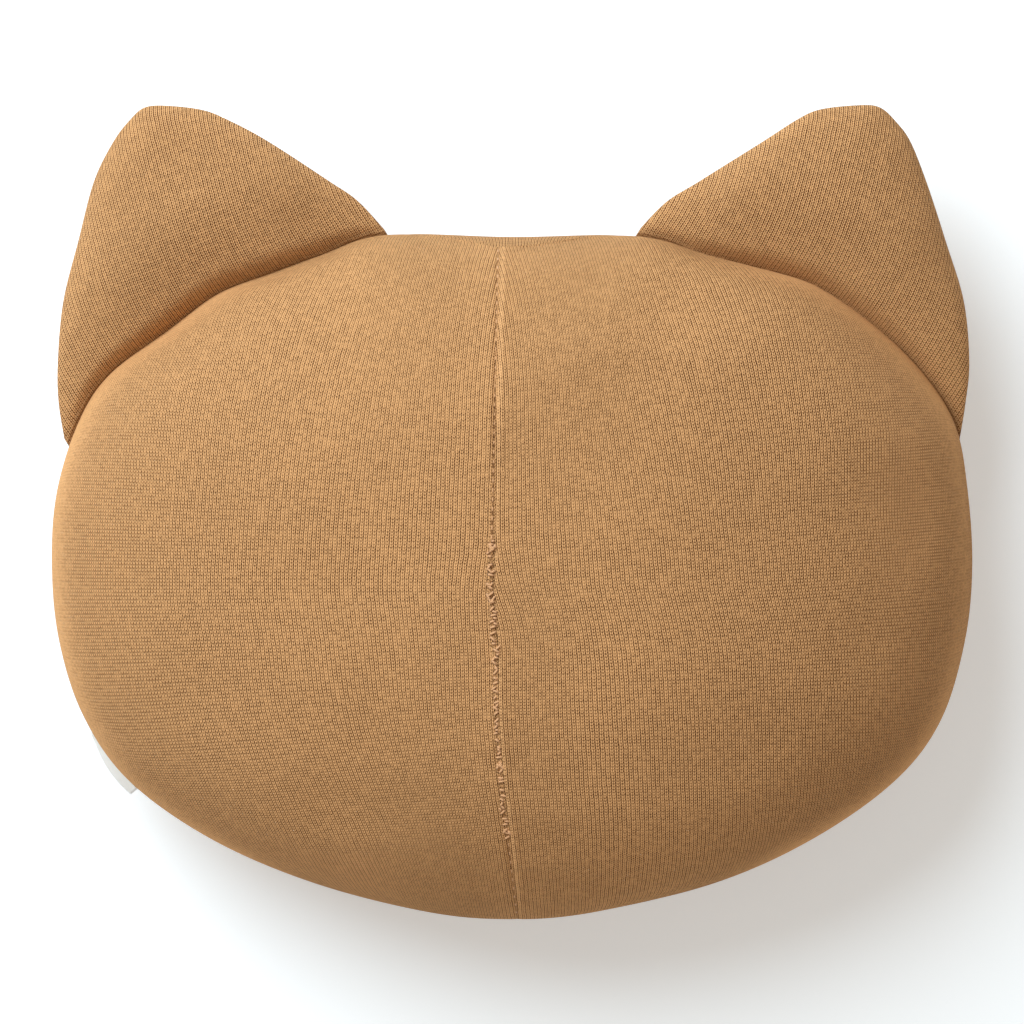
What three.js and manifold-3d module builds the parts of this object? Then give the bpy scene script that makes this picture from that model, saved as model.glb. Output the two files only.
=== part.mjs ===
// A plush cat's head: two back panels and a face panel of fine knitted fabric, sewn round a soft filling,
// with two stuffed ears and a folded side label caught in the rim seam. The head lies on its face.
// Millimetres. +Z is up, through the back of the head, and +Y runs from the chin to the ears.
// The origin is on the surface under the head, at the middle of its length and width.

import * as THREE from 'three';
import { mergeVertices } from 'three/addons/utils/BufferGeometryUtils.js';
import Module from 'manifold-3d';

const wasm = await Module();
wasm.setup();

// Head
const HEAD_CENTRE = new THREE.Vector2(0, -25);
const RIM_HEIGHT = 62; // the rim seam above the surface that the head lies on
const BACK_CROWN = 78; // rise of the back above the rim
const FACE_CROWN = 67; // drop of the face below the rim, before the surface presses it flat
const CROWN_FLATNESS = 2.6; // 2 is an ellipse, and more is flatter in the middle and steeper at the rim
const RIM_LIFT = 21; // how far the rim seam is pulled up between the ears
const RIM_LIFT_HALF_WIDTH = 60;
const RIM_SAMPLES = 600;
const HEAD_SEGMENTS_ROUND = 48;
const HEAD_SEGMENTS_OVER = 16;
const BEYOND_PART = 250; // half the width of a block that cuts through the whole part

// Fabric, seams and filling
const PANEL_THICKNESS = 2;
const CLEARANCE = 0.3;
const SEAM_GAP = 1.8; // between the edges of two panels, where the thread joins them
const THREAD_RADIUS = 0.35;
const THREAD_DEPTH = 1; // of the thread's axis under the panel's surface
const STITCH_SWAY = 0.25; // of the hand stitches to each side of the centre seam
const STITCH_PITCH = 4.5;
const RIM_THREAD_SIDES = 5;
const RIM_THREAD_SEGMENTS = 80;

// Ears, in distances along the line between an ear's two corners and straight out from it
const EAR_CORNER_INNER = new THREE.Vector2(52, 114.5);
const EAR_CORNER_OUTER = new THREE.Vector2(184.5, 31);
const EAR_HEIGHT = 66; // of the middle of the ear's thickness above the surface
const EAR_HALF_THICKNESS = 23;
const EAR_ROOT_GAP = 2.5; // between the head's rim and the ear
const EAR_INNER_MARGIN = 1; // from the ear's inner corner to the start of its stuffed shape
const EAR_OUTER_MARGIN = 8;
const EAR_SEGMENTS_ROUND = 20;
const EAR_SEGMENTS_ALONG = 16;
const EAR_THREAD_STEPS = 40;
const EAR_THREAD_END_STEPS = 4; // left free of thread at each corner

// Side label: one ribbon folded on itself, with its two ends in the rim seam
const LABEL_WIDTH = 30;
const LABEL_LENGTH = 16;
const LABEL_DIRECTION = THREE.MathUtils.degToRad(-154.6); // seen from the middle of the head
const LABEL_DROOP = THREE.MathUtils.degToRad(65); // below level
const LABEL_ROOT_GAP = 1.4;
const RIBBON_THICKNESS = 0.45;
const RIBBON_FOLD_GAP = 0.4;

// Embroidered face, let into the face panel
const EMBROIDERY_LOW = 0.1;
const EMBROIDERY_THICKNESS = 0.7;
const EYE_HALF_WIDTH = 11;
const EYE_HALF_HEIGHT = 13;
const EYE_SPREAD = 58;
const EYE_Y = -14;
const NOSE_HALF_WIDTH = 11;
const NOSE_HEIGHT = 13;
const NOSE_Y = -38;
const MOUTH_ARC_RADIUS = 12;
const MOUTH_Y = -50;
const MOUTH_LINE_WIDTH = 3;
const MOUTH_END_ANGLE = 0.3; // by which each arc stops short of level, in radians

const knit = new THREE.MeshStandardMaterial({ color: 0xbe9263, roughness: 0.95, metalness: 0 });
const seamThread = new THREE.MeshStandardMaterial({ color: 0xa97c4f, roughness: 0.8, metalness: 0 });
const filling = new THREE.MeshStandardMaterial({ color: 0xf2efe8, roughness: 1, metalness: 0 });
const ribbon = new THREE.MeshStandardMaterial({ color: 0xe8e7e4, roughness: 0.6, metalness: 0 });
const darkFloss = new THREE.MeshStandardMaterial({ color: 0x2b211c, roughness: 0.5, metalness: 0 });
const roseFloss = new THREE.MeshStandardMaterial({ color: 0xb9786c, roughness: 0.5, metalness: 0 });

const points2D = (pairs) => pairs.map(([x, y]) => new THREE.Vector2(x, y));

// Linear reading of a polyline: the y at a given x, for points that run on in x.
function readAt(points, x) {
  const after = points.findIndex((p) => p.x >= x);
  if (after <= 0) return after === 0 ? points[0].y : points.at(-1).y;
  const [a, b] = [points[after - 1], points[after]];
  return a.y + ((b.y - a.y) * (x - a.x)) / (b.x - a.x);
}

// ---------------------------------------------------------------- solids

function toSolid(geometry) {
  const bare = geometry.clone();
  bare.deleteAttribute('normal');
  bare.deleteAttribute('uv');
  const merged = mergeVertices(bare, 1e-4);
  const vertProperties = merged.attributes.position.array;
  const triVerts = new Uint32Array(merged.index.array);
  return new wasm.Manifold(new wasm.Mesh({ numProp: 3, vertProperties, triVerts }));
}

function toGeometry(solid) {
  const mesh = solid.getMesh();
  const geometry = new THREE.BufferGeometry();
  geometry.setAttribute('position', new THREE.BufferAttribute(mesh.vertProperties, mesh.numProp));
  geometry.setIndex(new THREE.BufferAttribute(mesh.triVerts, 1));
  geometry.computeVertexNormals();
  return geometry;
}

function named(name, geometry, material) {
  const mesh = new THREE.Mesh(geometry, material);
  mesh.name = name;
  return mesh;
}

// Moves each vertex of a geometry with a function of its place, and returns the geometry.
function reshape(geometry, move) {
  const position = geometry.attributes.position;
  const vertex = new THREE.Vector3();
  for (let i = 0; i < position.count; i += 1) {
    move(vertex.fromBufferAttribute(position, i));
    position.setXYZ(i, vertex.x, vertex.y, vertex.z);
  }
  return geometry;
}

function threadAlong(path, steps) {
  const section = new THREE.Shape().absarc(0, 0, THREAD_RADIUS, 0, 2 * Math.PI);
  const options = { steps, bevelEnabled: false, extrudePath: path, curveSegments: 3 };
  return new THREE.ExtrudeGeometry(section, options);
}

// A prism of a flat outline, from a low to a high Z.
function prism(outline, low, high) {
  const geometry = new THREE.ExtrudeGeometry(outline, { depth: high - low, bevelEnabled: false });
  return geometry.translate(0, 0, low);
}

// ---------------------------------------------------------------- head

// The rim seen from above, from between the ears and round by the right side.
const rim = new THREE.CatmullRomCurve3(
  [
    [0, 113.5], [52, 114], [81, 106], [112, 98.5], [131, 90], [152, 75], [172, 56], [185, 34],
    [190, -15], [187, -53], [177, -86], [158, -111], [123, -136], [72, -157],
    [0, -168], [-72, -157], [-122, -136], [-157, -111], [-176, -86], [-187, -53],
    [-190, -15], [-183, 28], [-169, 54], [-150, 69.5], [-125, 88], [-99, 99], [-79, 106], [-52, 114],
  ].map(([x, y]) => new THREE.Vector3(x, y, 0)),
  true,
);

// The rim as polar angle and distance about the middle of the head, in the order of the angle.
const rimPolar = rim
  .getPoints(RIM_SAMPLES)
  .slice(1)
  .map((p) => new THREE.Vector2(p.x, p.y).sub(HEAD_CENTRE))
  .map((p) => new THREE.Vector2(Math.atan2(p.y, p.x), p.length()))
  .sort((a, b) => a.x - b.x);
rimPolar.unshift(rimPolar.at(-1).clone().setX(rimPolar.at(-1).x - 2 * Math.PI));
rimPolar.push(rimPolar[1].clone().setX(rimPolar[1].x + 2 * Math.PI));

// A point of the head's surface, or of a surface inside it by the inset. The polar angle is 0 at the
// crown of the back, a right angle at the rim and two right angles at the face.
function headPoint(azimuth, polar, inset) {
  const rise = Math.cos(polar);
  const crown = rise > 0 ? BACK_CROWN : FACE_CROWN;
  const reach = (readAt(rimPolar, azimuth) - inset) * Math.sin(polar) ** (2 / CROWN_FLATNESS);
  const x = HEAD_CENTRE.x + reach * Math.cos(azimuth);
  const y = HEAD_CENTRE.y + reach * Math.sin(azimuth);
  const z = RIM_HEIGHT + (crown - inset) * rise;
  return new THREE.Vector3(x, y, Math.max(z, inset));
}

function headBlank(inset) {
  const sphere = new THREE.SphereGeometry(1, HEAD_SEGMENTS_ROUND, HEAD_SEGMENTS_OVER).rotateX(Math.PI / 2);
  return reshape(sphere, (v) => {
    v.normalize();
    const polar = Math.atan2(Math.hypot(v.x, v.y), v.z);
    v.copy(headPoint(Math.atan2(v.y, v.x), polar, inset));
  });
}

// Height of the rim seam: level, and pulled up towards the back between the ears.
function rimSeamHeight(x, y) {
  if (y < 0 || Math.abs(x) > RIM_LIFT_HALF_WIDTH) return RIM_HEIGHT;
  return RIM_HEIGHT + RIM_LIFT * Math.cos((Math.PI * x) / (2 * RIM_LIFT_HALF_WIDTH)) ** 2;
}

// Everything lower than the rim seam, moved up by the lift.
function underRimSeam(lift) {
  const reach = BEYOND_PART;
  const base = new THREE.BoxGeometry(2 * reach, 2 * reach, reach);
  base.translate(0, 0, RIM_HEIGHT + lift - reach / 2);
  const arch = new THREE.Shape();
  arch.moveTo(-RIM_LIFT_HALF_WIDTH, 0);
  arch.lineTo(RIM_LIFT_HALF_WIDTH, 0);
  const steps = 16;
  for (let i = 0; i <= steps; i += 1) {
    const x = RIM_LIFT_HALF_WIDTH * (1 - (2 * i) / steps);
    arch.lineTo(x, rimSeamHeight(x, 1) + lift);
  }
  const ridge = prism(arch, 0, reach).rotateX(Math.PI / 2).translate(0, reach, 0);
  return toSolid(base).add(toSolid(ridge));
}

// The centre seam of the back, from the ears to the chin: it wanders a few millimetres to each side.
const centreSeam = new THREE.SplineCurve(
  points2D([[-5.5, 130], [-5.5, 100], [-6.5, 50], [-8.5, -25], [-6.5, -75], [-3.5, -115], [2, -180]]),
).getPoints(24);
const centreSeamX = (y) => readAt(centreSeam.map((p) => new THREE.Vector2(-p.y, p.x)), -y);

// Everything to the left of the centre seam, moved right by the shift.
function leftOfCentreSeam(shift) {
  const reach = 250;
  const outline = new THREE.Shape();
  outline.moveTo(-reach, centreSeam[0].y);
  outline.lineTo(-reach, centreSeam.at(-1).y);
  centreSeam.toReversed().forEach((p) => outline.lineTo(p.x + shift, p.y));
  return toSolid(prism(outline, 0, reach));
}

// A thread in the centre seam between two slopes of the back, which are polar angles in degrees:
// positive towards the ears and negative towards the chin. The sway throws it from side to side.
function centreSeamThread(fromDegrees, toDegrees, pitch, sway) {
  const place = (degrees) => {
    const azimuth = degrees > 0 ? Math.PI / 2 : -Math.PI / 2;
    const polar = THREE.MathUtils.degToRad(Math.abs(degrees));
    return headPoint(azimuth, polar, THREAD_DEPTH);
  };
  const start = place(fromDegrees);
  const length = start.distanceTo(place(toDegrees));
  const count = Math.round(length / pitch);
  const path = Array.from({ length: count + 1 }, (_, i) => {
    const point = place(THREE.MathUtils.lerp(fromDegrees, toDegrees, i / count));
    point.x = centreSeamX(point.y) + (i % 2 ? sway : -sway);
    return point;
  });
  return threadAlong(new THREE.CatmullRomCurve3(path), count);
}

// The rim thread is a ring: a torus whose round becomes the rim and whose tube keeps its size.
function rimSeamThread() {
  const round = 100;
  const ring = new THREE.TorusGeometry(round, THREAD_RADIUS, RIM_THREAD_SIDES, RIM_THREAD_SEGMENTS);
  return reshape(ring, (v) => {
    const azimuth = Math.atan2(v.y, v.x);
    const outward = Math.hypot(v.x, v.y) - round;
    const side = headPoint(azimuth, Math.PI / 2, 0);
    const height = rimSeamHeight(side.x, side.y);
    const polar = Math.acos((height - RIM_HEIGHT) / BACK_CROWN);
    const axis = headPoint(azimuth, polar, THREAD_DEPTH);
    axis.x += outward * Math.cos(azimuth);
    axis.y += outward * Math.sin(azimuth);
    v.set(axis.x, axis.y, height + v.z);
  });
}

// ---------------------------------------------------------------- embroidered face

function oval(x, y, halfWidth, halfHeight) {
  return new THREE.Shape().absellipse(x, y, halfWidth, halfHeight, 0, 2 * Math.PI);
}

function noseOutline(grow) {
  const half = NOSE_HALF_WIDTH + grow;
  const top = NOSE_Y + NOSE_HEIGHT / 2 + grow;
  const bottom = NOSE_Y - NOSE_HEIGHT / 2 - grow;
  const shape = new THREE.Shape();
  shape.moveTo(0, top - 1);
  shape.bezierCurveTo(half * 0.6, top + 1, half, top, half, top - 3);
  shape.bezierCurveTo(half, top - 7, 3, bottom, 0, bottom);
  shape.bezierCurveTo(-3, bottom, -half, top - 7, -half, top - 3);
  shape.bezierCurveTo(-half, top, -half * 0.6, top + 1, 0, top - 1);
  return shape;
}

// Two arcs side by side, open towards the nose, drawn as one line of even width.
function mouthOutline(grow) {
  const half = MOUTH_LINE_WIDTH / 2 + grow;
  const overrun = grow / MOUTH_ARC_RADIUS;
  const arc = (side, radius, from, to) => {
    const steps = 10;
    return Array.from({ length: steps + 1 }, (_, i) => {
      const angle = THREE.MathUtils.lerp(from, to, i / steps);
      const x = side * MOUTH_ARC_RADIUS + radius * Math.cos(angle);
      return new THREE.Vector2(x, MOUTH_Y + radius * Math.sin(angle));
    });
  };
  const outer = MOUTH_ARC_RADIUS + half;
  const inner = MOUTH_ARC_RADIUS - half;
  const meet = -Math.acos(MOUTH_ARC_RADIUS / outer);
  const leftEnd = -Math.PI - overrun + MOUTH_END_ANGLE;
  const rightEnd = overrun - MOUTH_END_ANGLE;
  return new THREE.Shape([
    ...arc(-1, outer, leftEnd, meet),
    ...arc(1, outer, -Math.PI - meet, rightEnd),
    ...arc(1, inner, rightEnd, -Math.PI),
    new THREE.Vector2(0, MOUTH_Y + half),
    ...arc(-1, inner, 0, leftEnd),
  ]);
}

const faceOutlines = {
  left_eye: (grow) => oval(-EYE_SPREAD, EYE_Y, EYE_HALF_WIDTH + grow, EYE_HALF_HEIGHT + grow),
  right_eye: (grow) => oval(EYE_SPREAD, EYE_Y, EYE_HALF_WIDTH + grow, EYE_HALF_HEIGHT + grow),
  nose: noseOutline,
  mouth: mouthOutline,
};

// ---------------------------------------------------------------- ears

// The ear's outer edge: distance along its base from the inner corner, and distance out from it.
const earEdge = new THREE.SplineCurve(
  points2D([
    [0, 0], [2.5, 18.5], [9, 32.5], [22, 60], [30, 75], [38, 85], [49, 94], [57, 97.5],
    [67, 95.5], [82, 88], [108, 66], [133, 42], [147, 21.5], [157, -2],
  ]),
).getPoints(130);

const earAlong = EAR_CORNER_OUTER.clone().sub(EAR_CORNER_INNER);
const earLength = earAlong.length();
earAlong.normalize();
const earOutward = new THREE.Vector2(-earAlong.y, earAlong.x);

// The head's rim beside one ear, in that ear's two distances. The side is -1 on the left, 1 on the right.
function rimBesideEar(side) {
  return rim
    .getPoints(RIM_SAMPLES)
    .map((p) => new THREE.Vector2(side * p.x, p.y).sub(EAR_CORNER_INNER))
    .map((p) => new THREE.Vector2(p.dot(earAlong), p.dot(earOutward)))
    .filter((p) => p.y > -20)
    .sort((a, b) => a.x - b.x);
}

const earStation = (share) =>
  THREE.MathUtils.lerp(EAR_INNER_MARGIN, earLength - EAR_OUTER_MARGIN, share);

// An inner surface's first and last ellipses are drawn in a little from the ear's two corners.
const earDrawIn = (inset, share) => 0.3 * inset * (1 - 2 * share);

function earPlace(side, along, outward, height) {
  const flat = EAR_CORNER_INNER.clone().addScaledVector(earAlong, along);
  flat.addScaledVector(earOutward, outward);
  return new THREE.Vector3(side * flat.x, flat.y, EAR_HEIGHT + height);
}

// An ear is a row of upright ellipses between the rim and the ear's edge, thin at both corners. The
// inset draws every ellipse in on all sides.
function earBlank(side, inset) {
  const root = rimBesideEar(side);
  const shrink = (size) => (size > 0 ? (size * size) / (size + inset) : 0);
  const sphere = new THREE.SphereGeometry(1, EAR_SEGMENTS_ROUND, EAR_SEGMENTS_ALONG);
  return reshape(sphere, (v) => {
    const share = THREE.MathUtils.clamp((1 + v.y) / 2, 0, 1);
    const ring = 2 * Math.sqrt(share * (1 - share));
    const along = earStation(share);
    const low = readAt(root, along) + EAR_ROOT_GAP;
    const high = readAt(earEdge, along);
    const fullness = 1 - (1 - ring) ** 4;
    const halfWidth = shrink((fullness * Math.max(high - low, 1)) / 2);
    const halfThickness = shrink(EAR_HALF_THICKNESS * ring ** 0.8);
    const turn = Math.atan2(v.x, v.z);
    const outward = (low + high) / 2 + halfWidth * Math.cos(turn);
    const drawn = along + earDrawIn(inset, share);
    v.copy(earPlace(side, drawn, outward, side * halfThickness * Math.sin(turn)));
  });
}

function earEdgeThread(side) {
  const root = rimBesideEar(side);
  const steps = EAR_THREAD_STEPS;
  const path = [];
  for (let i = EAR_THREAD_END_STEPS; i <= steps - EAR_THREAD_END_STEPS; i += 1) {
    const share = (1 - Math.cos((Math.PI * i) / steps)) / 2;
    const along = earStation(share);
    const low = readAt(root, along) + EAR_ROOT_GAP;
    const high = readAt(earEdge, along);
    const fullness = 1 - (1 - 2 * Math.sqrt(share * (1 - share))) ** 4;
    const outward = (low + high) / 2 + (fullness * (high - low)) / 2 - THREAD_DEPTH;
    path.push(earPlace(side, along + earDrawIn(THREAD_DEPTH, share), outward, 0));
  }
  return threadAlong(new THREE.CatmullRomCurve3(path), steps);
}

function ear(side, sideName) {
  const shell = toSolid(earBlank(side, 0)).subtract(toSolid(earBlank(side, PANEL_THICKNESS)));
  const reach = BEYOND_PART;
  const block = new THREE.BoxGeometry(4 * reach, 4 * reach, reach);
  const under = toSolid(block.clone().translate(0, 0, EAR_HEIGHT - SEAM_GAP / 2 - reach / 2));
  const over = toSolid(block.clone().translate(0, 0, EAR_HEIGHT + SEAM_GAP / 2 + reach / 2));
  const group = new THREE.Group();
  group.add(
    named(`${sideName}_ear_back_panel`, toGeometry(shell.intersect(over)), knit),
    named(`${sideName}_ear_face_panel`, toGeometry(shell.intersect(under)), knit),
    named(`${sideName}_ear_filling`, earBlank(side, PANEL_THICKNESS + CLEARANCE), filling),
    named(`${sideName}_ear_seam_thread`, earEdgeThread(side), seamThread),
  );
  return group;
}

// ---------------------------------------------------------------- side label

// The ribbon's section: two layers joined by a round fold, with their open ends at the root.
function ribbonSection() {
  const inner = RIBBON_FOLD_GAP / 2;
  const outer = inner + RIBBON_THICKNESS;
  const bend = LABEL_LENGTH - outer;
  const shape = new THREE.Shape();
  shape.moveTo(0, -outer);
  shape.lineTo(bend, -outer);
  shape.absarc(bend, 0, outer, -Math.PI / 2, Math.PI / 2, false);
  shape.lineTo(0, outer);
  shape.lineTo(0, inner);
  shape.lineTo(bend, inner);
  shape.absarc(bend, 0, inner, Math.PI / 2, -Math.PI / 2, true);
  shape.lineTo(0, -inner);
  return shape;
}

function sideLabel() {
  const place = (azimuth) => headPoint(azimuth, Math.PI / 2, 0);
  const along = place(LABEL_DIRECTION + 0.05).sub(place(LABEL_DIRECTION - 0.05)).normalize();
  const up = new THREE.Vector3(0, 0, 1);
  const outward = along.clone().cross(up);
  const drop = outward.clone().multiplyScalar(Math.cos(LABEL_DROOP));
  drop.addScaledVector(up, -Math.sin(LABEL_DROOP));
  const root = place(LABEL_DIRECTION).addScaledVector(outward, LABEL_ROOT_GAP);
  root.addScaledVector(along, -LABEL_WIDTH / 2);
  const geometry = new THREE.ExtrudeGeometry(ribbonSection(), {
    depth: LABEL_WIDTH,
    bevelEnabled: false,
    curveSegments: 6,
  });
  const across = along.clone().cross(drop);
  const label = named('side_label', geometry, ribbon);
  label.applyMatrix4(new THREE.Matrix4().makeBasis(drop, across, along).setPosition(root));
  return label;
}

// ---------------------------------------------------------------- assembly

function head() {
  const shell = toSolid(headBlank(0)).subtract(toSolid(headBlank(PANEL_THICKNESS)));
  const back = shell.subtract(underRimSeam(SEAM_GAP / 2));
  const backLeft = back.intersect(leftOfCentreSeam(-SEAM_GAP / 2));
  const backRight = back.subtract(leftOfCentreSeam(SEAM_GAP / 2));
  let facePanel = shell.intersect(underRimSeam(-SEAM_GAP / 2));
  const group = new THREE.Group();
  const pocketTop = EMBROIDERY_LOW + EMBROIDERY_THICKNESS + CLEARANCE;
  for (const [name, outline] of Object.entries(faceOutlines)) {
    facePanel = facePanel.subtract(toSolid(prism(outline(CLEARANCE), -1, pocketTop)));
    const stitches = prism(outline(0), EMBROIDERY_LOW, EMBROIDERY_LOW + EMBROIDERY_THICKNESS);
    group.add(named(name, stitches, name === 'nose' ? roseFloss : darkFloss));
  }
  group.add(
    named('back_panel_left', toGeometry(backLeft), knit),
    named('back_panel_right', toGeometry(backRight), knit),
    named('face_panel', toGeometry(facePanel), knit),
    named('head_filling', headBlank(PANEL_THICKNESS + CLEARANCE), filling),
    named('centre_seam_thread_upper', centreSeamThread(72, 3, 8, 0), seamThread),
    named('closing_stitch_thread', centreSeamThread(2, -41, STITCH_PITCH, STITCH_SWAY), seamThread),
    named('centre_seam_thread_lower', centreSeamThread(-42, -86, 8, 0), seamThread),
    named('rim_seam_thread', rimSeamThread(), seamThread),
  );
  return group;
}

const plushCatHead = new THREE.Group();
plushCatHead.add(head(), ear(-1, 'left'), ear(1, 'right'), sideLabel());

export default plushCatHead;
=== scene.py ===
"""A stuffed cat's head cushion in fine knit, lying on its face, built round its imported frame.

Sums are in millimetres and Blender's meshes in metres. +Z is up through the back of the head, +Y runs
from the chin to the ears. A knitted panel is a grid of points with two UV maps: "Knit", in stitch columns
and stitch rows, and "Seam", the distances from the centre seam (right of it is positive) and from the
panel's outer seam, in millimetres.
"""
import math

import bmesh
import bpy
import numpy as np
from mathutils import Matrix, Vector


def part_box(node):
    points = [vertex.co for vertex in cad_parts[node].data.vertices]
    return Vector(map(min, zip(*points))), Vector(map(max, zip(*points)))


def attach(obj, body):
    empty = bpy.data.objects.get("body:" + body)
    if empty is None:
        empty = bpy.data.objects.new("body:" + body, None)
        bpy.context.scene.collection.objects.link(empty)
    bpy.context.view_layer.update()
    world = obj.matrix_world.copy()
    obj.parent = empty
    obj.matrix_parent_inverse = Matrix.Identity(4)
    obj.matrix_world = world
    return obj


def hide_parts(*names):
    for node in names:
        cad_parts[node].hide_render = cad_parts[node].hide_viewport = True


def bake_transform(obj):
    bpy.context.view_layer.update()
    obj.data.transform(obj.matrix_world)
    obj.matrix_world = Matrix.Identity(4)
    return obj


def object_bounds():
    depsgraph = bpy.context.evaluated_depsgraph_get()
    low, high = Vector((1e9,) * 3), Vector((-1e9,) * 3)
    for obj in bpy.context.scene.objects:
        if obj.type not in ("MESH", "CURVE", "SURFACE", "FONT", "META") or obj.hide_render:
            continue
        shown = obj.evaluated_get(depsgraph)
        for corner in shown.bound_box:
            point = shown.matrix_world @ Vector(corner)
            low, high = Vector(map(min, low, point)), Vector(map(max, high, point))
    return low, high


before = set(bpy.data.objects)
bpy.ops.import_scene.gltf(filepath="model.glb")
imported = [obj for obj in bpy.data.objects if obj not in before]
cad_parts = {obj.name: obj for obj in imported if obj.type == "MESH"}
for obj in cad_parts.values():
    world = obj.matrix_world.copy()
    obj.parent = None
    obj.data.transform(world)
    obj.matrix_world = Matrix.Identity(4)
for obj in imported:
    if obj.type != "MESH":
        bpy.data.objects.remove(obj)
cad_low, cad_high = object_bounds()
scene = bpy.context.scene

# ---------------------------------------------------------------- knitted cloth
# Fine single jersey in tan cotton, the cloth of every panel: columns of small V stitches, holes darkened with
# painted shade and a haze of loose fibre. It has painted shade along its seams, in the crease at each ear's
# root, in the short dashes where the middle of the centre seam gapes and among the tufts where that seam was
# closed by hand, painted highlights on the stitch tops and the seam ridges, and it looks plainer down the
# sides of the head.

MM = 0.001
WALE = 1.8      # width of one stitch column
COURSE = 1.2    # height of one stitch row
TAN = (0.690, 0.385, 0.172, 1.0)
# The darkest tan is painted shade, put in the knit's holes, seam valleys, seam gaps and ear creases.
TAN_PAINTED_SHADE = (0.085, 0.022, 0.003, 1.0)
# The lightest tan is partly the haze of loose fibre and partly painted highlight on stitch tops and seam
# ridges.
TAN_LIGHT = (0.82, 0.48, 0.230, 1.0)
KNIT_RELIEF = 0.55
DASH_PITCH = 3.7
DASHES = (-12.0, 50.0)     # where the centre seam gapes, in Y
CLOSING = (-130.0, -13.0)  # where it is closed by hand
EAR_ROOT_AT = 300.0        # on an ear, the first distance is this plus that from the ear's root


class Nodes:
    """Short names for building a node tree: each call adds one node, links its inputs and gives it back."""

    def __init__(self, tree):
        self.tree = tree

    def add(self, kind, *inputs, **settings):
        node = self.tree.nodes.new(kind)
        for key, value in settings.items():
            setattr(node, key, value)
        for slot, value in enumerate(inputs):
            self.join(value, node.inputs[slot])
        return node

    def join(self, value, socket):
        if isinstance(value, bpy.types.NodeSocket):
            self.tree.links.new(value, socket)
        elif value is not None:
            socket.default_value = value

    def math(self, operation, a, b=None, c=None):
        return self.add("ShaderNodeMath", a, b, c, operation=operation).outputs[0]

    def product(self, first, *others):
        for other in others:
            first = self.math("MULTIPLY", first, other)
        return first

    def highest(self, first, *others):
        for other in others:
            first = self.math("MAXIMUM", first, other)
        return first

    def mix(self, factor, a, b, blend="MIX"):
        node = self.add("ShaderNodeMix", data_type="RGBA", blend_type=blend)
        self.join(factor, node.inputs[0])
        self.join(a, node.inputs[6])
        self.join(b, node.inputs[7])
        return node.outputs[2]

    def spread(self, value, low, high, to_low=0.0, to_high=1.0):
        """A smooth step of the value from low to high; low may be the larger."""
        node = self.add("ShaderNodeMapRange", value, low, high, to_low, to_high,
                        interpolation_type="SMOOTHSTEP")
        return node.outputs[0]

    def noise(self, vector, scale, detail=3.0, roughness=0.55):
        node = self.add("ShaderNodeTexNoise")
        self.join(vector, node.inputs["Vector"])
        node.inputs["Scale"].default_value = scale
        node.inputs["Detail"].default_value = detail
        node.inputs["Roughness"].default_value = roughness
        return node.outputs["Fac"]

    def bump(self, height, strength, distance, shader):
        node = self.add("ShaderNodeBump")
        node.inputs["Strength"].default_value = strength
        node.inputs["Distance"].default_value = distance * MM
        self.join(height, node.inputs["Height"])
        self.join(node.outputs["Normal"], shader.inputs["Normal"])


def new_group(name, inputs, outputs):
    """A shader node group with the named inputs and outputs, and its Nodes."""
    tree = bpy.data.node_groups.new(name, "ShaderNodeTree")
    for label, kind in inputs:
        tree.interface.new_socket(label, in_out="INPUT", socket_type=kind)
    for label, kind in outputs:
        tree.interface.new_socket(label, in_out="OUTPUT", socket_type=kind)
    n = Nodes(tree)
    return tree, n, n.add("NodeGroupInput").outputs, n.add("NodeGroupOutput").inputs


def new_material(name, sheen=0.0):
    material = bpy.data.materials.new(name)
    material.use_nodes = True
    shader = material.node_tree.nodes["Principled BSDF"]
    shader.inputs["Specular IOR Level"].default_value = 0.15
    shader.inputs["Sheen Weight"].default_value = sheen
    shader.inputs["Sheen Roughness"].default_value = 0.6
    return material, Nodes(material.node_tree), shader


knit_group, n, given, wanted = new_group(
    "knit_stitches",
    [("Columns and rows", "NodeSocketVector"), ("Place", "NodeSocketVector")],
    [("Height", "NodeSocketFloat"), ("Hole", "NodeSocketFloat"), ("Fibre", "NodeSocketFloat")],
)
# Each column is two legs that slant together like a V, and each stitch has its own height and hole.
wobble = n.noise(given["Place"], 260.0, 1.0)
split = n.add("ShaderNodeSeparateXYZ", given["Columns and rows"]).outputs
column = n.math("MULTIPLY_ADD", n.math("SUBTRACT", wobble, 0.5), 0.34, split["X"])
off_centre = n.math("MULTIPLY", n.math("ABSOLUTE", n.math("SUBTRACT", n.math("FRACT", column), 0.5)), 2.0)
leg_phase = n.math("MULTIPLY_ADD", off_centre, -0.55, split["Y"])
leg_wave = n.math("SINE", n.product(leg_phase, 2 * math.pi))
leg_round = n.math("SINE", n.math("MULTIPLY", off_centre, math.pi))
leg_round = n.math("POWER", n.math("MAXIMUM", leg_round, 0.0), 0.7)
stitch = n.add("ShaderNodeCombineXYZ", n.math("FLOOR", column), n.math("FLOOR", leg_phase), 0.0).outputs[0]
own = n.add("ShaderNodeTexWhiteNoise", stitch, noise_dimensions="2D").outputs["Value"]
height = n.product(leg_round, n.math("MULTIPLY_ADD", leg_wave, 0.25, 0.75),
                   n.math("MULTIPLY_ADD", own, 0.3, 0.85))
# The hole mask marks where the cloth's colour takes painted shade, between the columns and between the legs.
between_columns = n.spread(off_centre, 0.50, 1.0)
between_legs = n.product(n.spread(off_centre, 0.45, 0.0), 0.8)
hole = n.product(n.highest(between_columns, between_legs), n.spread(leg_wave, 0.45, -0.70))
hole = n.product(n.math("MULTIPLY_ADD", between_columns, 0.45, hole), n.math("MULTIPLY_ADD", own, 0.9, 0.5))
n.join(height, wanted["Height"])
n.join(hole, wanted["Hole"])
n.join(n.noise(given["Place"], 1400.0, 2.0, 0.7), wanted["Fibre"])

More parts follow.
